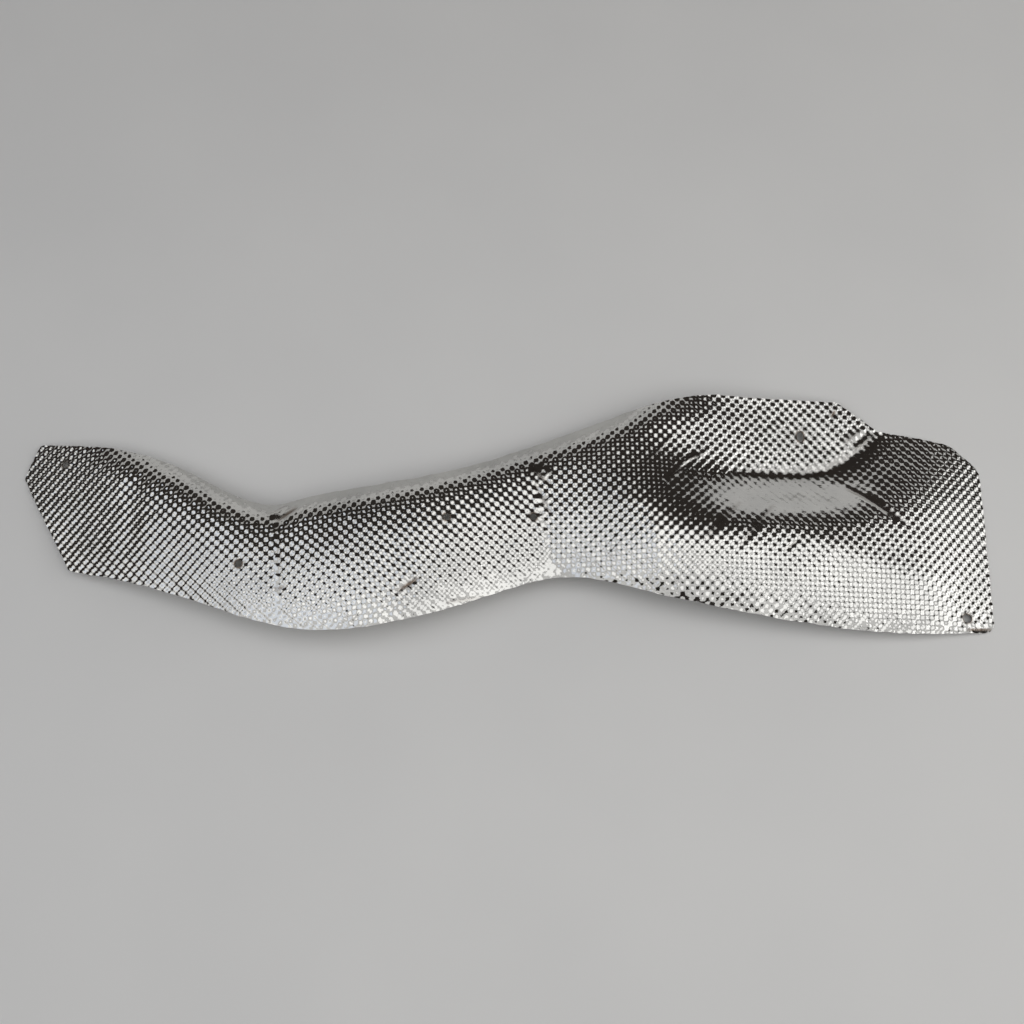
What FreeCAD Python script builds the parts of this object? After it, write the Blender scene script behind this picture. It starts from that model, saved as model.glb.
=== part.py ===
"""Embossed aluminium heat shield: one thin pressed sheet, long and swept in plan.

The sheet is a raised panel that arches from end to end. Along its far side the edge is rolled
down, and at the right a wall steps down to a flat landing with a slotted fixing hole. Two pleats
gather the metal where the sheet turns in plan. All sizes are millimetres. X runs along the
length, Y from the near edge to the far edge, and Z up from the surface that the sheet lies on.
"""
import FreeCAD, Part
import os

Vector = FreeCAD.Vector

# Sheet
sheet_thickness = 1.6
long_pitch = 14.0
cross_pitch = 13.0
margin = 12.0
slope_reach = 0.5

# Lines of the sheet in plan, as x and y
far_edge_line = [(-384, 60), (-316, 55), (-252, 34), (-181, 4), (-159, 8), (-66, 25), (45, 62),
                 (110, 85), (160, 95), (200, 99)]
near_edge_line = [(-384, -34), (-337, -45), (-271, -61), (-207, -82), (-153, -96), (-104, -95),
                  (-2, -66), (39, -54), (114, -68), (190, -83), (278, -94), (384, -92)]
ridge_line = [(-384, 60), (-307, 40), (-275, 6), (-233, -26), (-193, -38), (-162, -40), (-63, -22),
              (21, 13), (75, 10), (115, -16), (149, -24), (195, -22), (266, -16), (307, -8),
              (347, 8), (384, 4)]
wall_foot_line = [(-384, 90), (-250, 60), (-180, 30), (-60, 50), (45, 85), (100, 75), (147, 42),
                  (187, 36), (235, 35), (277, 45), (304, 72), (335, 105), (384, 110)]

# Heights and falls along the length, as x and millimetres
ridge_height = [(-384, 0), (-337, 12), (-300, 22), (-240, 33), (-165, 39), (-80, 42), (-20, 36),
                (60, 33), (116, 44), (190, 39), (264, 29), (330, 16), (384, 0)]
near_edge_fall = [(-384, 1), (-300, 5), (-240, 6), (-165, 7), (-75, 7), (-20, 8), (39, 8),
                  (114, 12), (190, 13), (264, 12), (330, 8), (384, 1)]
wall_fall = [(-384, 3), (-300, 6), (-165, 6), (-60, 5), (45, 5), (100, 9), (147, 16), (187, 23),
             (235, 26), (277, 25), (304, 22), (345, 17), (384, 3)]
rolled_edge_fall = [(-384, 0), (-330, 1), (-290, 7), (-240, 11), (-180, 12), (-60, 12), (45, 12),
                    (110, 11), (150, 5), (175, 0)]
rolled_edge_width = 22.0
landing_rise = 0.1

# Left end, from the far corner round the tip to the near corner
left_far_corner = (-374, 61)
left_tip = (-384, 33)
left_near_corner_x = -337
rolled_edge_start_x = -316
left_corner_radius = 5.0

# Landing and right end
landing_start_x = 160
landing_far_right = (270, 96.5)
landing_step = (304, 74)
right_shoulder = (361, 61)
right_far_corner = (382, 40)
right_near_corner_x = 378
right_far_radius = 14.0
right_near_radius = 9.0
landing_corner_radius = 6.0

# Pleats, from the gathered end to the end where they run out
far_pleat_gather = (-174, 8)
far_pleat_end = (-168, -75)
far_pleat_depth = 4.0
near_pleat_gather = (39, -56)
near_pleat_end = (22, 40)
near_pleat_depth = 4.0
pleat_width = 20.0

# Fixing holes along the sheet, a larger one at the right near corner and a slot in the landing
hole_diameter = 5.5
hole_places = [(-349, 42), (-199, -47), (-43, -11), (23, -8)]
corner_hole_diameter = 7.0
corner_hole_place = (356, -82)
slot_place = (238, 66)
slot_width = 5.6
slot_length = 8.4
punch_length = 3 * sheet_thickness

# How near an edge lies to a corner, how upright it stands, and how close the faces are sewn
corner_reach = 0.5
upright_share = 0.99
sew_gap = 0.001


def smooth_line(stations):
    """Return the natural cubic through the stations as a function of x, straight past its ends."""
    xs = [station[0] for station in stations]
    ys = [station[1] for station in stations]
    steps = [right - left for left, right in zip(xs, xs[1:])]
    rises = [(ys[i + 1] - ys[i]) / steps[i] for i in range(len(steps))]
    sweep = [0.0]
    load = [0.0]
    for i in range(1, len(steps)):
        pivot = 2 * (steps[i - 1] + steps[i]) - steps[i - 1] * sweep[-1]
        load.append((6 * (rises[i] - rises[i - 1]) - steps[i - 1] * load[-1]) / pivot)
        sweep.append(steps[i] / pivot)
    bends = [0.0] * len(xs)
    for i in range(len(steps) - 1, 0, -1):
        bends[i] = load[i] - sweep[i] * bends[i + 1]

    def value(x):
        inside = min(max(x, xs[0]), xs[-1])
        i = 0
        while i < len(steps) - 1 and inside > xs[i + 1]:
            i += 1
        run = inside - xs[i]
        twist = (bends[i + 1] - bends[i]) / (6 * steps[i])
        slope = rises[i] - steps[i] * (2 * bends[i] + bends[i + 1]) / 6
        end_slope = slope + run * (bends[i] + 3 * twist * run)
        return ys[i] + run * (slope + run * (bends[i] / 2 + twist * run)) + end_slope * (x - inside)

    return value


far_edge_y = smooth_line(far_edge_line)
near_edge_y = smooth_line(near_edge_line)
ridge_y = smooth_line(ridge_line)
wall_foot_y = smooth_line(wall_foot_line)
ridge_z = smooth_line(ridge_height)
near_fall_at = smooth_line(near_edge_fall)
wall_fall_at = smooth_line(wall_fall)
rolled_fall_at = smooth_line(rolled_edge_fall)


def near_side_fall(x, y):
    """Return how far the front panel has fallen from the ridge towards the near edge."""
    if y >= ridge_y(x):
        return 0.0
    share = (ridge_y(x) - y) / (ridge_y(x) - near_edge_y(x))
    return near_fall_at(x) * share ** 2


def wall_side_fall(x, y):
    """Return how far the wall has fallen from the ridge to its foot, less the landing's rise."""
    share = (y - ridge_y(x)) / (wall_foot_y(x) - ridge_y(x))
    share_inside = min(max(share, 0.0), 1.0)
    past_foot = max(y - wall_foot_y(x), 0.0)
    return wall_fall_at(x) * share_inside ** 2 * (3 - 2 * share_inside) - landing_rise * past_foot


def rolled_fall(x, y):
    """Return how far the far edge has rolled down, easing out again past the trimmed edge."""
    share = min(max((y - far_edge_y(x)) / rolled_edge_width + 1, 0.0), 2.0)
    curl = share ** 2 if share < 1 else 2 - (2 - share) ** 2
    return max(rolled_fall_at(x), 0.0) * curl


def pleat_fall(x, y, gather, end, depth):
    """Return the depth of a pleat that is deepest at its gathered end and runs out at the other."""
    start = Vector(gather[0], gather[1], 0)
    run = Vector(end[0], end[1], 0) - start
    offset = Vector(x, y, 0) - start
    share = min(max(offset.dot(run) / run.Length ** 2, 0.0), 1.0)
    across = offset.cross(run).Length / run.Length
    return depth * (1 - share) * 2.0 ** -((2 * across / pleat_width) ** 2)


def underside_z(x, y):
    """Return the height of the sheet's underside at a place in plan."""
    height = ridge_z(x) - near_side_fall(x, y) - wall_side_fall(x, y) - rolled_fall(x, y)
    height -= pleat_fall(x, y, far_pleat_gather, far_pleat_end, far_pleat_depth)
    height -= pleat_fall(x, y, near_pleat_gather, near_pleat_end, near_pleat_depth)
    return height


def surface_normal(x, y):
    """Return the upward normal of the sheet at a place in plan."""
    rise_x = underside_z(x + slope_reach, y) - underside_z(x - slope_reach, y)
    rise_y = underside_z(x, y + slope_reach) - underside_z(x, y - slope_reach)
    return Vector(-rise_x, -rise_y, 2 * slope_reach).normalize()


def spaced(low, high, pitch):
    """Return even places from low to high, about one pitch apart."""
    count = max(round((high - low) / pitch), 1)
    return [low + (high - low) * i / count for i in range(count + 1)]


def pole_places(knots):
    """Return the pole places that make a cubic surface's own parameter equal to the place."""
    padded = [knots[0]] * 3 + knots + [knots[-1]] * 3
    return [sum(padded[i + 1:i + 4]) / 3 for i in range(len(padded) - 4)]


def pressed_surface(lift):
    """Return a smooth surface, a margin larger than the outline and lifted off the underside."""
    along = spaced(left_tip[0] - margin, right_far_corner[0] + margin, long_pitch)
    lowest = min(y for x, y in near_edge_line)
    across = spaced(lowest - margin, landing_far_right[1] + margin, cross_pitch)
    poles = [[Vector(x, y, underside_z(x, y)) + surface_normal(x, y) * lift
              for y in pole_places(across)] for x in pole_places(along)]
    counts = [[4] + [1] * (len(knots) - 2) + [4] for knots in (along, across)]
    surface = Part.BSplineSurface()
    surface.buildFromPolesMultsKnots(poles, counts[0], counts[1], along, across, False, False, 3, 3)
    return surface


def edge_along(line_y, x_from, x_to):
    """Return a flat edge that follows a line of the sheet from left to right."""
    curve = Part.BSplineCurve()
    curve.interpolate([Vector(x, line_y(x), 0) for x in spaced(x_from, x_to, long_pitch)])
    return curve.toShape()


def straight_edges(places):
    """Return the flat straight edges from place to place."""
    corners = [Vector(x, y, 0) for x, y in places]
    return [Part.makeLine(start, end) for start, end in zip(corners, corners[1:])]


def rounded(prism, places, radius):
    """Return the prism with its upright edges at the given places rounded."""
    picked = []
    for edge in prism.Edges:
        foot = edge.Vertexes[0].Point
        upright = len(edge.Vertexes) == 2 and abs(edge.tangentAt(edge.FirstParameter).z) > upright_share
        gaps = [Vector(x, y, foot.z).distanceToPoint(foot) for x, y in places]
        if upright and min(gaps) < corner_reach:
            picked.append(edge)
    return prism.makeFillet(radius, picked)


def outline_edges():
    """Return the edges of the sheet's plan outline, with its corners rounded."""
    far_start = (rolled_edge_start_x, far_edge_y(rolled_edge_start_x))
    far_end = (landing_start_x, far_edge_y(landing_start_x))
    near_start = (right_near_corner_x, near_edge_y(right_near_corner_x))
    near_end = (left_near_corner_x, near_edge_y(left_near_corner_x))
    edges = [edge_along(far_edge_y, rolled_edge_start_x, landing_start_x)]
    edges += straight_edges([far_end, landing_far_right, landing_step, right_shoulder,
                             right_far_corner, near_start])
    edges.append(edge_along(near_edge_y, left_near_corner_x, right_near_corner_x))
    edges += straight_edges([near_end, left_tip, left_far_corner, far_start])
    prism = Part.Face(Part.Wire(Part.__sortEdges__(edges))).extrude(Vector(0, 0, margin))
    prism = rounded(prism, [left_far_corner, left_tip, near_end], left_corner_radius)
    prism = rounded(prism, [landing_far_right, landing_step], landing_corner_radius)
    prism = rounded(prism, [right_shoulder, right_far_corner], right_far_radius)
    prism = rounded(prism, [near_start], right_near_radius)
    floor = min(prism.Faces, key=lambda face: face.CenterOfMass.z)
    return floor.OuterWire.OrderedEdges


def edge_on_surface(flat_edge, surface):
    """Return a flat plan edge laid onto the surface, whose parameters are plan X and Y."""
    flat = flat_edge.Curve.toBSpline(*flat_edge.ParameterRange)
    poles = [FreeCAD.Base.Vector2d(pole.x, pole.y) for pole in flat.getPoles()]
    laid = Part.Geom2d.BSplineCurve2d()
    laid.buildFromPolesMultsKnots(poles, flat.getMultiplicities(), flat.getKnots(), False,
                                  flat.Degree, flat.getWeights())
    return laid.toShape(surface)


def blank_sheet():
    """Return the sheet cut to its outline, before it is punched."""
    faces = []
    rims = []
    outline = outline_edges()
    for lift in (0.0, sheet_thickness):
        surface = pressed_surface(lift)
        rim = [edge_on_surface(edge, surface) for edge in outline]
        face = Part.Face(surface, Part.Wire(rim))
        face.validate()
        faces.append(face)
        rims.append(rim)
    faces += [Part.makeRuledSurface(low, high) for low, high in zip(*rims)]
    shell = Part.Shell(faces)
    shell.sewShape()
    solid = Part.Solid(shell)
    solid.fix(sew_gap, sew_gap, sew_gap)
    return solid


def punch_seat(underside, place):
    """Return where a punch starts, below the sheet at a place in plan, and which way it points."""
    normal = underside.normal(*place)
    return underside.value(*place) - normal * sheet_thickness, normal


def round_punch(underside, place, diameter):
    """Return a round punch, square to the sheet."""
    base, normal = punch_seat(underside, place)
    return Part.makeCylinder(diameter / 2, punch_length, base, normal)


def slot_punch(underside):
    """Return the landing's slot punch, square to the sheet and long across it."""
    base, normal = punch_seat(underside, slot_place)
    across = normal.cross(Vector(1, 0, 0)).normalize()
    half_run = across * ((slot_length - slot_width) / 2)
    side = normal.cross(across) * (slot_width / 2)
    corners = [base + half_run + side, base + half_run - side, base - half_run - side,
               base - half_run + side, base + half_run + side]
    body = Part.Face(Part.makePolygon(corners)).extrude(normal * punch_length)
    ends = [Part.makeCylinder(slot_width / 2, punch_length, base + shift, normal)
            for shift in (half_run, half_run * -1)]
    return body.fuse(ends).removeSplitter()


def heat_shield():
    """Return the trimmed, thickened and punched sheet, centred over the surface that it lies on."""
    underside = pressed_surface(0.0)
    punches = [round_punch(underside, place, hole_diameter) for place in hole_places]
    punches.append(round_punch(underside, corner_hole_place, corner_hole_diameter))
    punches.append(slot_punch(underside))
    sheet = blank_sheet().cut(punches).Solids[0]
    box = sheet.optimalBoundingBox()
    sheet.translate(Vector(-box.Center.x, -box.Center.y, -box.ZMin))
    return sheet


os.makedirs("parts", exist_ok=True)
shield = heat_shield()
shield.exportStep("parts/heat_shield.step")
box = shield.optimalBoundingBox()
print("size", round(box.XLength, 1), round(box.YLength, 1), round(box.ZLength, 1))
print("valid", shield.isValid(), "volume", round(shield.Volume), "area", round(shield.Area))
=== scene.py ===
"""Looks of the embossed heat shield: one pressed sheet of bright aluminium on a pale studio floor.

The sheet's form and its outline come from the frame. This script adds what the solid leaves out:
the square emboss, the sharp creases that the press left, the finish of the metal and the studio.
The sheet's own places and sizes are millimetres. Those of the studio, the camera and the finishes
are metres, as is everything handed to the scene.
"""
import logging
import math
from dataclasses import dataclass, field
from enum import Enum
from typing import ClassVar

import bpy
import numpy as np
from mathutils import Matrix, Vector
from mathutils.geometry import delaunay_2d_cdt


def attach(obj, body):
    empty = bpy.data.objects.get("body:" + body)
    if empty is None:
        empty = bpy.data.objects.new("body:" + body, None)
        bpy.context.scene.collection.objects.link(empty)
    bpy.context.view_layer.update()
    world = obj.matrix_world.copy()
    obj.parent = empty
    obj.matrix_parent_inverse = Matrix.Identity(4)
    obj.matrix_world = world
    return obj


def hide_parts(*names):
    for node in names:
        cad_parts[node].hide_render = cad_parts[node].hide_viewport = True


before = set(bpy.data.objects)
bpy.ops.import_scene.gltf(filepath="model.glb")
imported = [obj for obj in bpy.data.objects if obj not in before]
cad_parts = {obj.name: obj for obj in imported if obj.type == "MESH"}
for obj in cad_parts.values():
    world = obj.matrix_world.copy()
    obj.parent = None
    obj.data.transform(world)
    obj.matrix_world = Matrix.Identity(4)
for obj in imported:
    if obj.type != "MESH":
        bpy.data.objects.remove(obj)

MM = 0.001
NODE = "heat_shield"
LEAST_SQUARE = 1e-12  # stands in for the squared length of a side that has none

Place = tuple[float, float]
Band = tuple[float, float]
Point = tuple[float, float, float]
Colour = tuple[float, float, float]
Feed = float | tuple | bpy.types.NodeSocket


class Skin(Enum):
    """The two faces of the sheet, by which way each one looks."""

    UPPER = 1.0
    LOWER = -1.0


class Attribute(Enum):
    """The values that the sheet's mesh carries for its emboss and its finish."""

    LATTICE_U = "lattice_u"
    LATTICE_V = "lattice_v"
    EMBOSS_SHARE = "emboss_share"
    ROW_SHARE = "row_share"
    SHEET_UP = "sheet_up"
    # Dirt and painted shade that darken creases and the rims of holes.
    SOIL_AND_SHADE = "soil_and_shade"
    CREST = "crest"


def unit_rows(rows: np.ndarray) -> np.ndarray:
    """Scale each row to length one."""
    return rows / np.linalg.norm(rows, axis=1, keepdims=True)


def gaps_to_line(plan: np.ndarray, start: np.ndarray,
                 end: np.ndarray) -> tuple[np.ndarray, np.ndarray]:
    """Measure how far each place is from a straight line between two ends.

    Args:
        plan: Places, one to a row.
        start: First end of the line.
        end: Second end of the line.

    Returns:
        The distances, and how far along the line each one is taken, as a share.
    """
    run = end - start
    share = np.clip((plan - start) @ run / max(run @ run, LEAST_SQUARE), 0.0, 1.0)
    return np.linalg.norm(plan - start - share[:, None] * run, axis=1), share


def placed(name: str, data: bpy.types.ID) -> bpy.types.Object:
    """Make an object of a mesh, a light or a camera and put it in the scene.

    Args:
        name: The object's name.
        data: What the object shows.

    Returns:
        The object, at the origin.
    """
    made = bpy.data.objects.new(name, data)
    bpy.context.scene.collection.objects.link(made)
    return made


@dataclass
class Loop:
    """A closed line in plan, with the sheet on its left-hand side.

    A side faces the camera where at least the near heading of its length runs to the right.
    """

    points: np.ndarray
    near_heading: float = 0.6

    def sides(self) -> list[tuple[np.ndarray, np.ndarray]]:
        """Pair each point with the next one round."""
        return list(zip(self.points, np.roll(self.points, -1, axis=0)))

    def length(self) -> float:
        """Measure the way round, in millimetres."""
        return sum(float(np.linalg.norm(end - start)) for start, end in self.sides())

    def resampled(self, spacing: float) -> "Loop":
        """Add points so that no side is much longer than the spacing.

        Args:
            spacing: Longest side wanted, in millimetres.

        Returns:
            The same loop with more points.
        """
        rows = []
        for start, end in self.sides():
            count = max(round(float(np.linalg.norm(end - start)) / spacing), 1)
            rows += [start + (end - start) * i / count for i in range(count)]
        return Loop(np.array(rows))

    def crossings(self, plan: np.ndarray) -> np.ndarray:
        """Count the sides that lie to the right of each place, level with it.

        Args:
            plan: Places, one to a row.

        Returns:
            A count for each place; it is odd inside the loop.
        """
        counts = np.zeros(len(plan), int)
        x, y = plan[:, 0], plan[:, 1]
        for (x0, y0), (x1, y1) in self.sides():
            if y0 == y1:
                continue
            level = (y0 > y) != (y1 > y)
            counts += level & (x < x0 + (x1 - x0) * (y - y0) / (y1 - y0))
        return counts

    def distance(self, plan: np.ndarray, near_only: bool = False) -> np.ndarray:
        """Measure how far each place is from the loop.

        Args:
            plan: Places, one to a row.
            near_only: Whether only the sides that face the camera count.

        Returns:
            The distances in millimetres.
        """
        nearest = np.full(len(plan), np.inf)
        for start, end in self.sides():
            side = end - start
            if near_only and side[0] < self.near_heading * np.linalg.norm(side):
                continue
            nearest = np.minimum(nearest, gaps_to_line(plan, start, end)[0])
        return nearest


@dataclass
class UpperSkin:
    """The upper face of the sheet in the frame: its points, and the loops round it."""

    points: np.ndarray
    loops: list[Loop]

    @classmethod
    def of_node(cls, node: bpy.types.Object, least_up: float = 0.45,
                merge_digits: int = 4) -> "UpperSkin":
        """Pick out the faces of the sheet that look up.

        Args:
            node: The sheet in the frame.
            least_up: Smallest upward share of a face's normal.
            merge_digits: Decimals of a millimetre to which points are one.

        Returns:
            The skin in millimetres, its outline first and then its holes.
        """
        mesh = node.data
        mesh.calc_loop_triangles()
        places = np.zeros(len(mesh.vertices) * 3, np.float32)
        mesh.vertices.foreach_get("co", places)
        corners = np.zeros(len(mesh.loop_triangles) * 3, np.int32)
        mesh.loop_triangles.foreach_get("vertices", corners)
        rounded = np.round(places.reshape(-1, 3).astype(float) / MM, merge_digits)
        points, joined = np.unique(rounded, axis=0, return_inverse=True)
        triangles = joined.reshape(-1)[corners].reshape(-1, 3)
        a, b, c = (points[triangles[:, i]] for i in range(3))
        normals = np.cross(b - a, c - a)
        size = np.linalg.norm(normals, axis=1)
        upper = triangles[(size > 0) & (normals[:, 2] > least_up * size)]
        sides = {(int(t[i]), int(t[(i + 1) % 3])) for t in upper for i in range(3)}
        onward = {start: end for start, end in sides if (end, start) not in sides}
        loops = []
        while onward:
            start, here = onward.popitem()
            chain = [start]
            while here != start:
                chain.append(here)
                here = onward.pop(here)
            loops.append(Loop(points[chain][:, :2]))
        loops.sort(key=Loop.length, reverse=True)
        middles = points[upper].mean(axis=1)
        return cls(np.vstack([points[np.unique(upper)], middles]), loops)


@dataclass
class HeightField:
    """A smooth cubic surface over the plan, where a few poles each way count at every place."""

    REACH: ClassVar[int] = 4

    pitch: float
    corner: np.ndarray
    poles: np.ndarray

    @staticmethod
    def shares(run: np.ndarray) -> tuple[np.ndarray, np.ndarray]:
        """Work out how much each pole counts between two knots.

        Args:
            run: Share of the way from one knot to the next.

        Returns:
            The poles' weights and their slopes, one place to a row.
        """
        back = 1.0 - run
        weights = [back**3, 3 * run**3 - 6 * run**2 + 4, 3 * back**3 - 6 * back**2 + 4, run**3]
        slopes = [-3 * back**2, 9 * run**2 - 12 * run, 12 * back - 9 * back**2, 3 * run**2]
        return np.stack(weights, axis=1) / 6, np.stack(slopes, axis=1) / 6

    @classmethod
    def fitted(cls, points: np.ndarray, pitch: float = 11.0, margin: float = 2.0,
               calm: float = 0.004) -> "HeightField":
        """Fit the surface to points of the sheet, smooth where there are none.

        Args:
            points: Places and heights in millimetres.
            pitch: Distance between knots.
            margin: Pitches by which the surface goes past the sheet.
            calm: Weight on the poles' bending, which settles those off the sheet.

        Returns:
            The fitted surface.
        """
        low = points[:, :2].min(axis=0) - margin * pitch
        high = points[:, :2].max(axis=0) + margin * pitch
        span = np.ceil((high - low) / pitch).astype(int) + cls.REACH - 1
        surface = cls(pitch, low, np.zeros(tuple(span)))
        cells, run = surface.cells(points[:, :2])
        wide, _ = cls.shares(run[:, 0])
        deep, _ = cls.shares(run[:, 1])
        normal = np.zeros((surface.poles.size, surface.poles.size))
        right = np.zeros(surface.poles.size)
        steps = [(i, j) for i in range(cls.REACH) for j in range(cls.REACH)]
        columns = [(cells[:, 0] + i) * span[1] + cells[:, 1] + j for i, j in steps]
        shares = [wide[:, i] * deep[:, j] for i, j in steps]
        for column, share in zip(columns, shares):
            np.add.at(right, column, share * points[:, 2])
            for other, other_share in zip(columns, shares):
                np.add.at(normal, (column, other), share * other_share)
        order = np.arange(surface.poles.size).reshape(surface.poles.shape)
        for rows in (order, order.T):
            ends, middles = rows[:-2].ravel(), rows[1:-1].ravel()
            bend = [(ends, 1.0), (middles, -2.0), (rows[2:].ravel(), 1.0)]
            for first, first_share in bend:
                for second, second_share in bend:
                    np.add.at(normal, (first, second), calm * first_share * second_share)
        surface.poles = np.linalg.solve(normal, right).reshape(surface.poles.shape)
        return surface

    def cells(self, plan: np.ndarray) -> tuple[np.ndarray, np.ndarray]:
        """Find the knot cell that holds each place.

        Args:
            plan: Places, one to a row.

        Returns:
            The cells, and the share of the way across each.
        """
        steps = (plan - self.corner) / self.pitch
        last = np.array(self.poles.shape) - self.REACH
        cells = np.clip(np.floor(steps).astype(int), 0, last)
        return cells, steps - cells

    def seats(self, plan: np.ndarray) -> tuple[np.ndarray, np.ndarray]:
        """Lay places onto the surface.

        Args:
            plan: Places, one to a row.

        Returns:
            The points on the surface and its upward normals.
        """
        cells, run = self.cells(plan)
        wide, wide_slope = self.shares(run[:, 0])
        deep, deep_slope = self.shares(run[:, 1])
        height, slope_x, slope_y = (np.zeros(len(plan)) for _ in range(3))
        for i in range(self.REACH):
            for j in range(self.REACH):
                pole = self.poles[cells[:, 0] + i, cells[:, 1] + j]
                height += wide[:, i] * deep[:, j] * pole
                slope_x += wide_slope[:, i] * deep[:, j] * pole / self.pitch
                slope_y += wide[:, i] * deep_slope[:, j] * pole / self.pitch
        normals = unit_rows(np.stack([-slope_x, -slope_y, np.ones(len(plan))], axis=1))
        return np.column_stack([plan, height]), normals

    def heights(self, plan: np.ndarray) -> np.ndarray:
        """Give the surface's height at each place."""
        return self.seats(plan)[0][:, 2]


@dataclass(frozen=True)
class Seam:
    """A straight line across the sheet where a pleat turns the emboss on its far side."""

    gather: Place
    end: Place

    def side(self, plan: np.ndarray) -> np.ndarray:
        """Measure how far each place lies beyond the seam.

        Args:
            plan: Places, one to a row.

        Returns:
            Signed distances in millimetres, above nought to the right.
        """
        low, high = sorted((self.gather, self.end), key=lambda place: place[1])
        run = np.array(high, float) - np.array(low, float)
        offset = plan - np.array(low, float)
        return (offset[:, 0] * run[1] - offset[:, 1] * run[0]) / np.linalg.norm(run)


@dataclass(frozen=True)
class Crease:
    """A line that the press left in the sheet: a narrow dip, or a lip where height is positive.

    Its width is taken at half its height. Flat is the share of the emboss that it takes away, and
    the last value the share of dirt and painted shade that darkens it.
    """

    path: tuple[Place, ...]
    height: float
    width: float
    flat: float = 0.6
    # Share of dirt and painted shade that darkens the crease.
    soil_and_shade: float = 0.3

    def nearness(self, plan: np.ndarray, widening: float = 1.0) -> np.ndarray:
        """Work out how strongly each place feels the crease.

        Args:
            plan: Places, one to a row.
            widening: Times that the crease's own width counts.

        Returns:
            One on the line's middle, falling to nought away from it and at its ends.
        """
        corners = np.array(self.path, float)
        lengths = np.linalg.norm(np.diff(corners, axis=0), axis=1)
        begun = np.cumsum(lengths) - lengths
        nearest, run = np.full(len(plan), np.inf), np.zeros(len(plan))
        for start, end, length, before in zip(corners, corners[1:], lengths, begun):
            gaps, share = gaps_to_line(plan, start, end)
            run = np.where(gaps < nearest, (before + share * length) / lengths.sum(), run)
            nearest = np.minimum(nearest, gaps)
        taper = np.sqrt(np.clip(4 * run * (1 - run), 0.0, 1.0))
        return taper * 2.0 ** -((2 * nearest / (self.width * widening)) ** 2)


@dataclass(frozen=True)
class PressMarks:
    """The creases of the sheet, by where they lie."""

    # The fifth value of a crease darkens it with dirt and painted shade.
    pocket: tuple[Crease, ...] = (
        Crease(((152, -29), (184, 5)), -0.5, 2.6, 0.3),
        Crease(((177, -36), (210, 4)), -0.7, 2.4, 0.3),
        Crease(((214, -36), (227, -26)), -0.6, 2.2, 0.3),
        Crease(((271, 24), (314, -12)), -1.0, 3.2, 0.8, 0.5),
        Crease(((110, 33), (135, 61)), 0.6, 2.4),
        Crease(((137, 35), (160, 48)), 0.7, 2.4),
        Crease(((124, 19), (145, 36)), -0.6, 2.6),
    )
    landing: tuple[Crease, ...] = (
        Crease(((274, 61), (292, 77)), 0.5, 2.2, 0.8),
        Crease(((281, 55), (302, 73)), 0.6, 2.2, 0.8),
        Crease(((286, 64), (297, 74)), -0.5, 2.0, 0.8),
        Crease(((168, 31), (212, 33), (241, 34), (262, 39), (279, 49), (295, 62), (307, 74)),
               -1.2, 9.0, 0.75, 0.12),
        Crease(((266, 84), (270, 90)), -0.6, 2.0, 0.5, 0.8),
    )
    far_pleat: tuple[Crease, ...] = (
        Crease(((-180, -8), (-166, 5)), 1.1, 3.6, 0.9, 0.1),
        Crease(((-173, -12), (-158, 1)), -0.9, 2.6, 0.9, 0.7),
        Crease(((-173, 2), (-163, -74)), -0.35, 3.0, 0.1, 0.15),
        Crease(((-170, -66), (-161, -65)), -0.6, 2.0, 0.5, 0.6),
    )
    near_pleat: tuple[Crease, ...] = (
        Crease(((20, 35), (34, 22)), 0.9, 2.0, 0.9, 0.1),
        Crease(((25, 38), (39, 25)), 0.8, 2.0, 0.9, 0.1),
        Crease(((23, 32), (37, 18)), -0.7, 1.8, 0.9, 0.6),
        Crease(((25, 19), (38, -6)), -0.6, 2.4, 0.7, 0.3),
        Crease(((30, -50), (62, -56)), 0.9, 5.0, 0.9, 0.0),
    )
    panels: tuple[Crease, ...] = (
        Crease(((113, 6), (120, -70)), 0.6, 9.0, 0.2, 0.0),
        Crease(((222, -25), (350, -62)), 0.9, 22.0, 0.35, 0.0),
        Crease(((-284, 42), (-289, -36)), -0.8, 14.0, 0.1, 0.0),
        Crease(((-78, -69), (-62, -58)), -0.9, 2.2, 0.7, 0.7),
        Crease(((-43, -76), (-12, -70)), -0.5, 2.0, 0.7, 0.3),
    )
    corner: tuple[Crease, ...] = (
        Crease(((355, -90.5), (378, -89.5)), -1.2, 1.5, 1.0, 1.0),
    )

    def every(self) -> tuple[Crease, ...]:
        """Gather all the creases."""
        return (self.pocket + self.landing + self.far_pleat + self.near_pleat + self.panels
                + self.corner)


@dataclass(frozen=True)
class Dents:
    """Chance unevenness of the sheet, of one size."""

    pitch: float
    height: float
    seed: int

    def over(self, low: np.ndarray, high: np.ndarray) -> HeightField:
        """Spread the unevenness over the plan.

        Args:
            low: Lowest corner of the plan.
            high: Highest corner of the plan.

        Returns:
            A surface of small heights about nought.
        """
        span = np.ceil((high - low) / self.pitch).astype(int) + HeightField.REACH
        poles = np.random.default_rng(self.seed).normal(0.0, self.height, tuple(span))
        return HeightField(self.pitch, low - self.pitch / 2, poles)


@dataclass(frozen=True)
class Spot:
    """A rounded place where the press took away some of the emboss."""

    centre: Place
    reach: Place
    taken: float

    def left(self, plan: np.ndarray) -> np.ndarray:
        """Work out what share of the emboss is left at each place."""
        away = (plan - np.array(self.centre)) / np.array(self.reach)
        return 1 - self.taken * np.exp(-(away**2).sum(axis=1))


@dataclass(frozen=True)
class Crumple:
    """The band along the near edge where the press crushed the emboss."""

    width: float = 13.0
    left_end: float = -215.0
    fade: float = 40.0
    flat: float = 0.4
    dents: Dents = Dents(3.0, 0.36, 5)

    def share(self, plan: np.ndarray, outline: Loop) -> np.ndarray:
        """Work out how far each place is crushed, from one at the near edge to nought inside."""
        along = np.clip((plan[:, 0] - self.left_end) / self.fade, 0.0, 1.0)
        return along * 2.0 ** -((outline.distance(plan, near_only=True) / self.width) ** 2)


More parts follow.
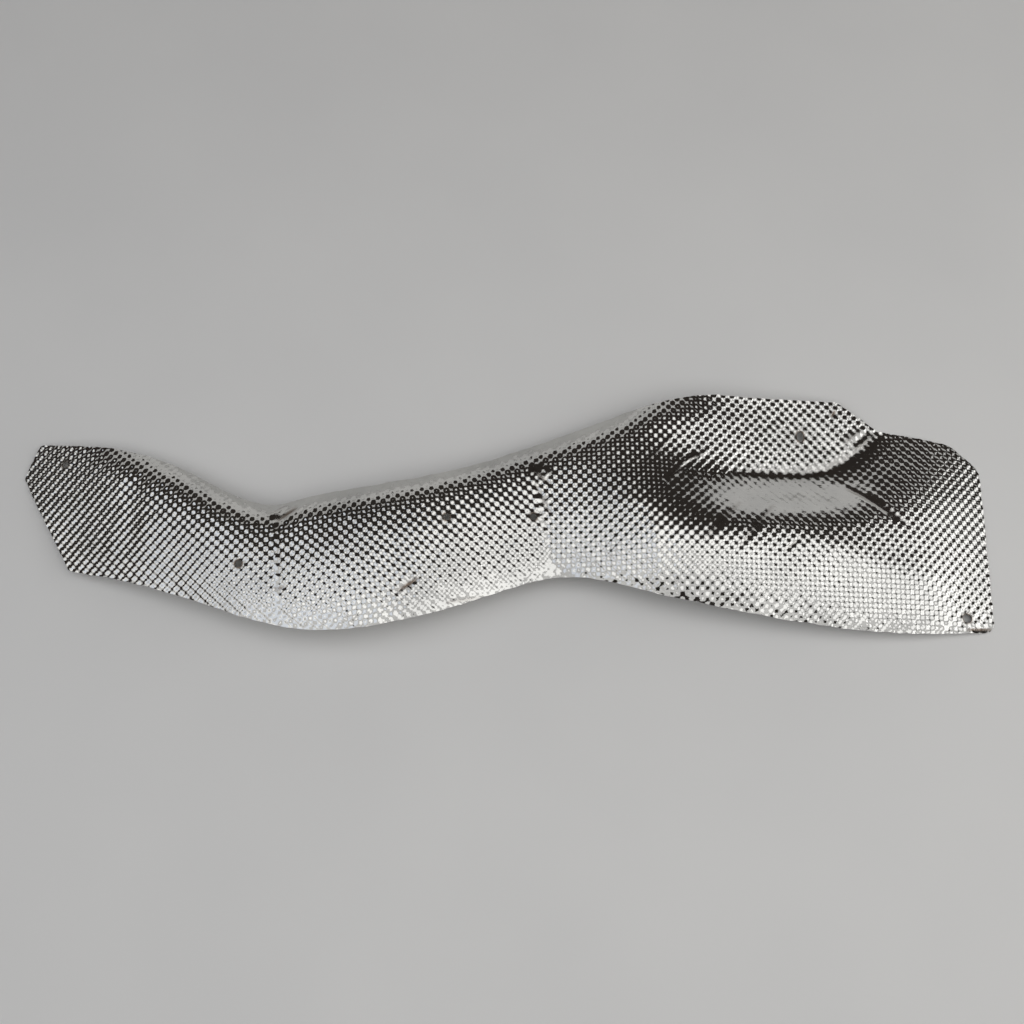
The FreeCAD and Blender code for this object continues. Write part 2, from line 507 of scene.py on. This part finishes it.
@dataclass(frozen=True)
class Emboss:
    """The square egg-box pattern, turned by the pleats from panel to panel.

    The turns are the pattern's angles in plan, in degrees, from the left. The seam gap is how far
    the mesh's grid keeps off a seam, as a share of its step.
    """

    pitch: float = 5.3
    crest_to_valley: float = 1.5
    turns: tuple[float, float, float] = (48.5, 51.7, 45.0)
    seams: tuple[Seam, Seam] = (Seam((-174, 8), (-168, -75)), Seam((22, 40), (39, -56)))
    seam_gap: float = 0.35

    def panel(self, plan: np.ndarray) -> np.ndarray:
        """Number the panel that each place lies in, from the left."""
        return sum((seam.side(plan) > 0).astype(int) for seam in self.seams)

    def axes(self, panel: int) -> np.ndarray:
        """Give the two directions of the pattern in a panel, as unit rows in plan."""
        turn = math.radians(self.turns[panel])
        return np.array([[math.cos(turn), math.sin(turn)], [-math.sin(turn), math.cos(turn)]])

    def phases(self, plan: np.ndarray) -> np.ndarray:
        """Give each place's position in the pattern.

        Args:
            plan: Places, one to a row.

        Returns:
            Two columns, in pitches.
        """
        panels = self.panel(plan)
        phases = np.zeros_like(plan)
        for panel in range(len(self.turns)):
            inside = panels == panel
            phases[inside] = plan[inside] @ self.axes(panel).T / self.pitch
        return phases

    def lattice(self, low: np.ndarray, high: np.ndarray, per_pitch: int) -> np.ndarray:
        """Lay a grid over the plan that follows the pattern in each panel.

        Args:
            low: Lowest corner of the plan.
            high: Highest corner of the plan.
            per_pitch: Grid lines to a pitch.

        Returns:
            The grid's places.
        """
        middle, reach = (low + high) / 2, float(np.linalg.norm(high - low)) / 2
        step = self.pitch / per_pitch
        count = int(reach / step) + 1
        ticks = np.arange(-count, count + 1)
        grid = np.stack(np.meshgrid(ticks, ticks), axis=-1).reshape(-1, 2)
        kept = []
        for panel in range(len(self.turns)):
            axes = self.axes(panel)
            places = (grid + np.round(axes @ middle / step)) * step @ axes
            inside = np.all((places > low) & (places < high), axis=1)
            inside &= self.panel(places) == panel
            for seam in self.seams:
                inside &= np.abs(seam.side(places)) > step * self.seam_gap
            kept.append(places[inside])
        return np.vstack(kept)


class Graph:
    """A node tree with a short way to add and join nodes."""

    def __init__(self, tree: bpy.types.NodeTree) -> None:
        """Take over a tree, to fill it."""
        self.tree = tree

    def add(self, kind: str, inputs: dict | None = None, **settings: object) -> bpy.types.Node:
        """Add a node, set it and join what its inputs name.

        Args:
            kind: The node's type name.
            inputs: Input name or number, with a value or an output socket.
            **settings: Properties of the node.

        Returns:
            The node.
        """
        node = self.tree.nodes.new(kind)
        for name, value in settings.items():
            setattr(node, name, value)
        for key, value in (inputs or {}).items():
            if isinstance(value, bpy.types.NodeSocket):
                self.tree.links.new(value, node.inputs[key])
            else:
                node.inputs[key].default_value = value
        return node

    def math(self, operation: str, *values: Feed, clamp: bool = False) -> bpy.types.NodeSocket:
        """Add a sum of numbers or sockets, held between nought and one where clamp is set."""
        return self.add("ShaderNodeMath", dict(enumerate(values)), operation=operation,
                        use_clamp=clamp).outputs[0]

    def stored(self, name: Attribute, kind: str = "FLOAT") -> bpy.types.NodeSocket:
        """Read a value that the sheet's mesh carries, in a Geometry Nodes tree."""
        node = self.add("GeometryNodeInputNamedAttribute", {"Name": name.value}, data_type=kind)
        return next(socket for socket in node.outputs if socket.enabled)

    def noise(self, place: bpy.types.NodeSocket, scale: float, detail: float = 2.0,
              roughness: float = 0.5) -> bpy.types.NodeSocket:
        """Add a cloudy noise, with about as many blotches to a metre as its scale says."""
        return self.add("ShaderNodeTexNoise", {"Vector": place, "Scale": scale, "Detail": detail,
                                               "Roughness": roughness}).outputs[0]

    def spread(self, value: bpy.types.NodeSocket, given: Band,
               wanted: Band = (0.0, 1.0)) -> bpy.types.NodeSocket:
        """Turn the given band of values into the wanted one, held at its ends."""
        limits = dict(zip(("From Min", "From Max", "To Min", "To Max"), given + wanted))
        return self.add("ShaderNodeMapRange", {"Value": value, **limits}).outputs[0]

    def blend(self, share: Feed, first: Feed, second: Feed) -> bpy.types.NodeSocket:
        """Mix two colours.

        Args:
            share: Share of the second colour.
            first: A colour or an output socket.
            second: A colour or an output socket.

        Returns:
            The mixed colour's socket.
        """
        ends = {key: end if isinstance(end, bpy.types.NodeSocket) else (*end, 1.0)
                for key, end in (("A", first), ("B", second))}
        mix = self.add("ShaderNodeMix", {"Factor": share, **ends}, data_type="RGBA")
        return mix.outputs["Result"]


def bare_material(name: str) -> tuple[bpy.types.Material, Graph]:
    """Make a material with nothing in its node tree.

    Args:
        name: The material's name.

    Returns:
        The material, and its tree to fill.
    """
    made = bpy.data.materials.new(name)
    made.use_nodes = True
    made.node_tree.nodes.clear()
    return made, Graph(made.node_tree)


@dataclass(frozen=True)
class AluminiumFinish:
    """Bare bright aluminium, dull in random blotches, with painted shade in the emboss's valleys
    and dirt with painted shade along creases and round holes.

    A band is where a noise, or the height in the emboss, goes from no effect to the full one.
    """

    bright: Colour = (0.65, 0.645, 0.62)
    # Dull metal, also painted shade in the emboss's valleys.
    dull_and_shaded: Colour = (0.44, 0.44, 0.43)
    # Dark brown of dirt, also painted shade in creases and round holes.
    soil_and_shade: Colour = (0.16, 0.125, 0.10)
    smooth: float = 0.05
    rough: float = 0.13
    soil_and_shade_roughness: float = 0.25
    blotch_scale: float = 22.0
    blotch_detail: float = 5.0
    blotch_roughness: float = 0.6
    blotch_band: Band = (0.35, 0.7)
    # Painted shade: the emboss's valleys take up to this share of the dull colour.
    valley_band: Band = (0.2, -1.0)
    valley_painted_shade: float = 0.35
    dull_and_shade_share: float = 0.6
    scratch_scale: float = 420.0
    scratch_detail: float = 3.0
    scratch_stretch: Point = (0.15, 1.0, 1.0)
    scratch_band: Band = (0.3, 0.75)
    grain_scale: float = 600.0
    grain_lift: float = 0.00012

    def wear_and_shade_group(self) -> bpy.types.NodeTree:
        """Build the shader group that varies the metal over the sheet, with painted shade in
        valleys, creases and round holes.

        Returns:
            A group with the metal's colour, roughness and normal as outputs.
        """
        tree = bpy.data.node_groups.new("sheet_wear_and_painted_shade", "ShaderNodeTree")
        for name, kind in (("Colour", "Color"), ("Roughness", "Float"), ("Normal", "Vector")):
            tree.interface.new_socket(name=name, in_out="OUTPUT", socket_type=f"NodeSocket{kind}")
        graph = Graph(tree)
        place = graph.add("ShaderNodeTexCoord").outputs["Object"]
        soil_and_shade, crest = (graph.add("ShaderNodeAttribute", attribute_name=name.value).outputs["Fac"]
                       for name in (Attribute.SOIL_AND_SHADE, Attribute.CREST))
        blotch = graph.noise(place, self.blotch_scale, self.blotch_detail, self.blotch_roughness)
        worn = graph.spread(blotch, self.blotch_band)
        # Painted shade: the emboss's valleys turn towards the dull colour.
        valley_shade = graph.spread(crest, self.valley_band, (0.0, self.valley_painted_shade))
        dullness_and_shade = graph.math("MULTIPLY", graph.math("MAXIMUM", worn, valley_shade), self.dull_and_shade_share)
        metal = graph.blend(dullness_and_shade, self.bright, self.dull_and_shaded)
        # Dirt and painted shade darken creases and the rims of holes towards dark brown.
        held_soil_and_shade = graph.math("ADD", graph.math("MULTIPLY", soil_and_shade, worn), soil_and_shade, clamp=True)
        stained_and_shaded = graph.blend(held_soil_and_shade, metal, self.soil_and_shade)
        drawn = graph.add("ShaderNodeMapping", {"Vector": place, "Scale": self.scratch_stretch})
        scratch = graph.noise(drawn.outputs[0], self.scratch_scale, self.scratch_detail)
        polish = graph.spread(scratch, self.scratch_band, (self.smooth, self.rough))
        rough = graph.math("ADD", polish, graph.math("MULTIPLY", held_soil_and_shade, self.soil_and_shade_roughness))
        grain = graph.add("ShaderNodeBump", {"Height": graph.noise(place, self.grain_scale),
                                             "Strength": 1.0, "Distance": self.grain_lift})
        graph.add("NodeGroupOutput", {"Colour": stained_and_shaded, "Roughness": rough,
                                      "Normal": grain.outputs[0]})
        return tree

    def material(self) -> bpy.types.Material:
        """Build the sheet's material.

        Returns:
            The material.
        """
        made, graph = bare_material("embossed_aluminium_metal")
        wear_and_shade = graph.add("ShaderNodeGroup", node_tree=self.wear_and_shade_group())
        metal = graph.add("ShaderNodeBsdfPrincipled", {"Base Color": wear_and_shade.outputs["Colour"],
                                                       "Metallic": 1.0,
                                                       "Roughness": wear_and_shade.outputs["Roughness"],
                                                       "Normal": wear_and_shade.outputs["Normal"]})
        graph.add("ShaderNodeOutputMaterial", {"Surface": metal.outputs[0]})
        return made


@dataclass(frozen=True)
class FloorFinish:
    """Matt pale paper with a faint mottle."""

    light: Colour = (0.87, 0.865, 0.845)
    dark: Colour = (0.8, 0.797, 0.785)
    mottle_scale: float = 6.0
    roughness: float = 0.95

    def material(self) -> bpy.types.Material:
        """Build the floor's material.

        Returns:
            The material.
        """
        made, graph = bare_material("pale_floor")
        place = graph.add("ShaderNodeTexCoord").outputs["Object"]
        paper = graph.blend(graph.noise(place, self.mottle_scale), self.light, self.dark)
        matt = graph.add("ShaderNodeBsdfPrincipled", {"Base Color": paper,
                                                      "Roughness": self.roughness})
        graph.add("ShaderNodeOutputMaterial", {"Surface": matt.outputs[0]})
        return made


@dataclass
class EmbossedSheet:
    """The pressed sheet with its emboss and creases, in place of the frame's plain one."""

    skin: UpperSkin
    finish: AluminiumFinish = field(default_factory=AluminiumFinish)
    emboss: Emboss = field(default_factory=Emboss)
    marks: PressMarks = field(default_factory=PressMarks)
    crumple: Crumple = field(default_factory=Crumple)

    # The solid's thickness, over the emboss, and that of the metal itself.
    envelope: float = 1.6
    gauge: float = 0.5

    # The mesh: rim points, grid lines to a pitch above and below, and how near points may lie.
    rim_spacing: float = 1.5
    lines_per_pitch: tuple[int, int] = (4, 3)
    rim_gap: float = 0.4
    weld: float = 1e-5
    sharp_angle: float = 60.0

    # Emboss left at a rim and at a seam, and how soon it is whole again. A crease flattens the
    # emboss over so many times its own width.
    rim_share: float = 0.5
    rim_flat_width: float = 2.0
    seam_share: float = 0.55
    seam_recovery: float = 2.0
    crease_spread: float = 1.8

    # Drawing flattens the emboss where the sheet leans back, sooner on the pocket's wall.
    drawn_lean: float = 0.4
    drawn_span: float = 0.17
    drawn_flat: float = 0.8
    pocket_wall: Spot = Spot((220.0, 10.0), (110.0, 60.0), 0.4)

    # Left of the pocket one wave of the emboss is weaker, so that it shows as rows.
    drawn_rows: Spot = Spot((150.0, 8.0), (44.0, 40.0), 0.75)
    pressed_landing: Spot = Spot((235.0, 65.0), (60.0, 30.0), 0.52)

    # Unevenness of the sheet, and of the outline in x and in y.
    dents: tuple[Dents, ...] = (Dents(24.0, 0.6, 3), Dents(3.5, 0.15, 8))
    ragged: tuple[Dents, Dents] = (Dents(4.0, 0.35, 11), Dents(4.0, 0.35, 12))

    # Dirt and painted shade darken a thin ring round each hole.
    hole_soil_and_shade: float = 0.9
    hole_soil_and_shade_reach: float = 0.7

    form: HeightField = field(init=False)
    rims: list[Loop] = field(init=False)
    creases: tuple[Crease, ...] = field(init=False)
    unevenness: list[HeightField] = field(init=False)
    crushed: HeightField = field(init=False)

    def __post_init__(self) -> None:
        """Fit the sheet's form, make its outline ragged and lay out its dents."""
        self.form = HeightField.fitted(self.skin.points)
        self.rims = [loop.resampled(self.rim_spacing) for loop in self.skin.loops]
        self.creases = self.marks.every()
        outline = self.rims[0].points
        low, high = outline.min(axis=0), outline.max(axis=0)
        self.unevenness = [dent.over(low, high) for dent in self.dents]
        self.crushed = self.crumple.dents.over(low, high)
        shifts = [dent.over(low, high).heights(outline) for dent in self.ragged]
        self.rims[0] = Loop(outline + np.stack(shifts, axis=1))

    def inside(self, plan: np.ndarray) -> np.ndarray:
        """Tell which places lie inside the outline and outside the holes."""
        return sum(rim.crossings(plan) for rim in self.rims) % 2 == 1

    def clearance(self, plan: np.ndarray) -> np.ndarray:
        """Measure how far each place is from the nearest rim, in millimetres."""
        return np.minimum.reduce([rim.distance(plan) for rim in self.rims])

    def rim_sides(self) -> list[tuple[int, int]]:
        """Pair the numbers of neighbouring rim points.

        Returns:
            The pairs, rim by rim, with the sheet on the left-hand side of each.
        """
        sides = []
        first = 0
        for rim in self.rims:
            count = len(rim.points)
            sides += [(first + i, first + (i + 1) % count) for i in range(count)]
            first += count
        return sides

    def triangulated(self, per_pitch: int) -> tuple[np.ndarray, np.ndarray]:
        """Cover the sheet's plan with triangles that follow the emboss.

        Args:
            per_pitch: Grid lines to a pitch.

        Returns:
            The places, rims first, and the triangles.
        """
        edge = np.vstack([rim.points for rim in self.rims])
        lattice = self.emboss.lattice(edge.min(axis=0), edge.max(axis=0), per_pitch)
        lattice = lattice[self.inside(lattice)]
        lattice = lattice[self.clearance(lattice) > self.rim_gap * self.emboss.pitch / per_pitch]
        plan = np.vstack([edge, lattice])
        made = delaunay_2d_cdt([Vector(place) for place in plan], self.rim_sides(), [], 0,
                               self.weld)
        source = np.array([ids[0] for ids in made[3]])
        triangles = source[np.array(made[2])]
        triangles = triangles[self.inside(plan[triangles].mean(axis=1))]
        a, b, c = (plan[triangles[:, i]] for i in range(3))
        turned = (b - a)[:, 0] * (c - a)[:, 1] - (b - a)[:, 1] * (c - a)[:, 0] < 0
        triangles[turned] = triangles[turned][:, ::-1]
        return plan, triangles

    def relief(self, plan: np.ndarray) -> np.ndarray:
        """Add up the heights of the creases and the unevenness.

        Args:
            plan: Places, one to a row.

        Returns:
            Heights off the plain form, in millimetres.
        """
        creases = sum(crease.height * crease.nearness(plan) for crease in self.creases)
        crushed = self.crumple.share(plan, self.rims[0]) * self.crushed.heights(plan)
        return creases + crushed + sum(dents.heights(plan) for dents in self.unevenness)

    def emboss_share(self, plan: np.ndarray) -> np.ndarray:
        """Work out how much of the emboss is left after pressing.

        Args:
            plan: Places, one to a row.

        Returns:
            One on the plain sheet, less where it was creased, drawn, crushed or cut.
        """
        share = np.ones(len(plan))
        for crease in self.creases:
            share *= 1 - crease.flat * crease.nearness(plan, self.crease_spread)
        for seam in self.emboss.seams:
            regained = self.seam_recovery * np.abs(seam.side(plan)) / self.emboss.pitch
            share *= np.clip(self.seam_share + regained, 0.0, 1.0)
        lean = self.form.seats(plan)[1][:, 1] - self.drawn_lean * self.pocket_wall.left(plan)
        share *= 1 - self.drawn_flat * np.clip(lean / self.drawn_span, 0.0, 1.0)
        share *= self.pressed_landing.left(plan)
        share *= 1 - self.crumple.flat * self.crumple.share(plan, self.rims[0])
        regained = self.clearance(plan) / self.rim_flat_width
        return share * np.clip(self.rim_share + regained, 0.0, 1.0)

    def soil_and_shade_shares(self, plan: np.ndarray) -> np.ndarray:
        """Work out where dirt and painted shade darken the metal.

        Args:
            plan: Places, one to a row.

        Returns:
            Shares of dirt and painted shade, most in creases and round holes.
        """
        soil_and_shade = np.zeros(len(plan))
        for crease in self.creases:
            soil_and_shade = np.maximum(soil_and_shade, crease.soil_and_shade * crease.nearness(plan))
        # Painted shade with dirt: a dark ring round each hole.
        for hole in self.rims[1:]:
            held_soil_and_shade = self.hole_soil_and_shade * np.exp(-hole.distance(plan) / self.hole_soil_and_shade_reach)
            soil_and_shade = np.maximum(soil_and_shade, held_soil_and_shade)
        return soil_and_shade

    def skin_rows(self, skin: Skin, plan: np.ndarray) -> tuple[np.ndarray, np.ndarray]:
        """Place one face of the sheet before it is embossed.

        Args:
            skin: Which face.
            plan: Its places, one to a row.

        Returns:
            The face's points and the sheet's upward normals.
        """
        seats, normals = self.form.seats(plan)
        lift = self.relief(plan) - self.envelope / 2 + skin.value * self.gauge / 2
        return seats + normals * lift[:, None], normals

    def carried(self, plan: np.ndarray, normals: np.ndarray) -> dict[Attribute, np.ndarray]:
        """Gather the values that the mesh carries for its emboss and its finish.

        Args:
            plan: Places of one face, one to a row.
            normals: The sheet's upward normals there.

        Returns:
            The values by name.
        """
        phases = self.emboss.phases(plan)
        return {
            Attribute.LATTICE_U: phases[:, 0],
            Attribute.LATTICE_V: phases[:, 1],
            Attribute.EMBOSS_SHARE: self.emboss_share(plan),
            Attribute.ROW_SHARE: self.drawn_rows.left(plan),
            Attribute.SHEET_UP: normals,
            Attribute.SOIL_AND_SHADE: self.soil_and_shade_shares(plan),
        }

    def blank(self) -> bpy.types.Object:
        """Build the pressed sheet with the values that its emboss needs.

        Returns:
            The sheet's object.
        """
        rows, faces, values = [], [], []
        for skin, per_pitch in zip(Skin, self.lines_per_pitch):
            plan, triangles = self.triangulated(per_pitch)
            points, normals = self.skin_rows(skin, plan)
            order = triangles if skin is Skin.UPPER else triangles[:, ::-1]
            faces += (order + sum(map(len, rows))).tolist()
            rows.append(points * MM)
            values.append(self.carried(plan, normals))
        below = len(rows[0])
        faces += [(here, here + below, onward + below, onward)
                  for here, onward in self.rim_sides()]
        mesh = bpy.data.meshes.new("embossed_sheet")
        mesh.from_pydata(np.vstack(rows).tolist(), [], faces)
        for name in values[0]:
            vector = name is Attribute.SHEET_UP
            kind, slot = ("FLOAT_VECTOR", "vector") if vector else ("FLOAT", "value")
            layer = mesh.attributes.new(name.value, kind, "POINT")
            both = np.concatenate([part[name] for part in values])
            layer.data.foreach_set(slot, both.astype(np.float32).ravel())
        mesh.shade_smooth()
        return placed("embossed_sheet", mesh)

    def emboss_tree(self) -> bpy.types.NodeTree:
        """Build the Geometry Nodes tree that presses the pattern into the sheet.

        Returns:
            The tree, with the depth and the finish as inputs.
        """
        tree = bpy.data.node_groups.new("Emboss", "GeometryNodeTree")
        for name, way, kind in (("Sheet", "INPUT", "Geometry"),
                                ("Crest To Valley", "INPUT", "Float"),
                                ("Finish", "INPUT", "Material"),
                                ("Sheet", "OUTPUT", "Geometry")):
            tree.interface.new_socket(name=name, in_out=way, socket_type=f"NodeSocket{kind}")
        graph = Graph(tree)
        given = graph.add("NodeGroupInput")
        waves = (Attribute.LATTICE_U, Attribute.LATTICE_V)
        across, along = (
            graph.math("COSINE", graph.math("MULTIPLY", graph.stored(wave), 2 * math.pi))
            for wave in waves)
        rows = graph.math("MULTIPLY", across, graph.stored(Attribute.ROW_SHARE))
        crest = graph.math("MULTIPLY", graph.math("ADD", rows, along), 0.5)
        pressed = graph.math("MULTIPLY", crest, graph.stored(Attribute.EMBOSS_SHARE))
        half = graph.math("MULTIPLY", given.outputs["Crest To Valley"], 0.5)
        shift = graph.add("ShaderNodeVectorMath",
                          {0: graph.stored(Attribute.SHEET_UP, "FLOAT_VECTOR"),
                           "Scale": graph.math("MULTIPLY", pressed, half)}, operation="SCALE")
        noted = graph.add("GeometryNodeStoreNamedAttribute",
                          {"Geometry": given.outputs["Sheet"], "Name": Attribute.CREST.value,
                           "Value": pressed}, data_type="FLOAT", domain="POINT")
        moved = graph.add("GeometryNodeSetPosition", {"Geometry": noted.outputs[0],
                                                      "Offset": shift.outputs[0]})
        real = graph.add("GeometryNodeRealizeInstances", {"Geometry": moved.outputs[0]})
        dressed = graph.add("GeometryNodeSetMaterial", {"Geometry": real.outputs[0],
                                                        "Material": given.outputs["Finish"]})
        graph.add("NodeGroupOutput", {"Sheet": dressed.outputs[0]})
        return tree

    def build(self) -> bpy.types.Object:
        """Build the embossed and dressed sheet and hand it to the frame.

        Returns:
            The sheet's object.
        """
        made = self.blank()
        tree = self.emboss_tree()
        sockets = {item.name: item.identifier for item in tree.interface.items_tree
                   if item.in_out == "INPUT"}
        press = made.modifiers.new("Emboss", "NODES")
        press.node_group = tree
        press[sockets["Crest To Valley"]] = self.emboss.crest_to_valley * MM
        press[sockets["Finish"]] = self.finish.material()
        ready = bpy.context.evaluated_depsgraph_get()
        pressed = bpy.data.meshes.new_from_object(
            made.evaluated_get(ready), preserve_all_data_layers=True, depsgraph=ready)
        made.modifiers.clear()
        made.data = pressed
        pressed.set_sharp_from_angle(angle=math.radians(self.sharp_angle))
        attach(made, "root")
        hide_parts(NODE)
        return made


@dataclass(frozen=True)
class SoftBox:
    """A plain rectangular studio light."""

    name: str
    place: Point
    aim: Point
    wide: float
    deep: float
    watts: float
    colour: Colour = (1.0, 1.0, 1.0)

    def build(self) -> bpy.types.Object:
        """Hang the light.

        Returns:
            The light's object.
        """
        lamp = bpy.data.lights.new(self.name, "AREA")
        lamp.shape = "RECTANGLE"
        lamp.size, lamp.size_y = self.wide, self.deep
        lamp.energy = self.watts
        lamp.color = self.colour
        made = placed(self.name, lamp)
        made.location = self.place
        look = Vector(self.aim) - Vector(self.place)
        made.rotation_euler = look.to_track_quat("-Z", "Y").to_euler()
        return made


@dataclass(frozen=True)
class Studio:
    """The pale floor, the dim room and the lights."""

    finish: FloorFinish = field(default_factory=FloorFinish)
    half_width: float = 3.0
    room: Colour = (0.034, 0.029, 0.026)
    lights: tuple[SoftBox, ...] = (
        SoftBox("ceiling", (-0.02, -0.14, 1.2), (-0.02, -0.14, 0.0), 3.94, 1.1, 9.6),
        SoftBox("front_softbox", (0.1, -0.93, 1.2), (0.1, -0.93, 0.0), 3.6, 0.48, 4.4),
        SoftBox("overhead_softbox", (0.45, -0.15, 1.15), (0.45, -0.15, 0.0), 1.0, 0.6, 1.41),
        SoftBox("left_strip", (-1.0, -0.1, 1.15), (-1.0, -0.1, 0.0), 0.25, 0.9, 0.5),
        SoftBox("left_window", (-0.62, -0.12, 1.15), (-0.62, -0.12, 0.0), 0.4, 1.08, 0.6,
                (0.6, 0.74, 1.0)),
        SoftBox("right_panel", (2.3, -0.4, 0.9), (0.0, -0.4, 0.0), 2.3, 1.3, 15.0),
        SoftBox("back_panel", (0.0, 0.9, 0.2), (0.0, 0.0, 0.2), 3.0, 0.38, 1.9),
    )

    def floor(self) -> bpy.types.Object:
        """Lay the floor.

        Returns:
            The floor's object.
        """
        ends = (-self.half_width, self.half_width)
        points = [(x, y, 0.0) for y in ends for x in ends]
        mesh = bpy.data.meshes.new("studio_floor")
        mesh.from_pydata(points, [], [(0, 1, 3, 2)])
        mesh.materials.append(self.finish.material())
        made = placed("studio_floor", mesh)
        return made

    def darken_room(self) -> bpy.types.World:
        """Set the dim room round the lights.

        Returns:
            The world.
        """
        world = bpy.data.worlds.new("dim_room")
        world.use_nodes = True
        world.node_tree.nodes["Background"].inputs["Color"].default_value = (*self.room, 1.0)
        bpy.context.scene.world = world
        return world


@dataclass(frozen=True)
class PhotoCamera:
    """The camera at the photograph's place."""

    target: Point = (0.0075, 0.0005, 0.018)
    elevation: float = 72.0
    reach: float = 0.9
    focal_share: float = 1.1268
    sensor: float = 36.0

    def build(self) -> bpy.types.Object:
        """Set up the camera.

        Returns:
            The camera's object.
        """
        lens = bpy.data.cameras.new("photo_camera")
        lens.sensor_width = self.sensor
        lens.lens = self.sensor * self.focal_share
        made = placed("photo_camera", lens)
        rise = math.radians(self.elevation)
        back = Vector((0.0, -math.cos(rise), math.sin(rise)))
        made.location = Vector(self.target) + back * self.reach
        made.rotation_euler = (-back).to_track_quat("-Z", "Y").to_euler()
        bpy.context.scene.camera = made
        return made


def main() -> None:
    """Build the sheet, the studio and the camera."""
    logging.basicConfig(level=logging.INFO, format="%(message)s")
    log = logging.getLogger("heat_shield")
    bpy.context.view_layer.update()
    sheet = EmbossedSheet(UpperSkin.of_node(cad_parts[NODE])).build()
    log.info("embossed sheet: %d faces", len(sheet.data.polygons))
    studio = Studio()
    log.info("floor: %s", studio.floor().name)
    for light in studio.lights:
        log.info("light: %s", light.build().name)
    log.info("room: %s", studio.darken_room().name)
    log.info("camera: %s", PhotoCamera().build().name)
    bpy.context.scene.view_settings.view_transform = "Standard"


if __name__ == "__main__":
    main()
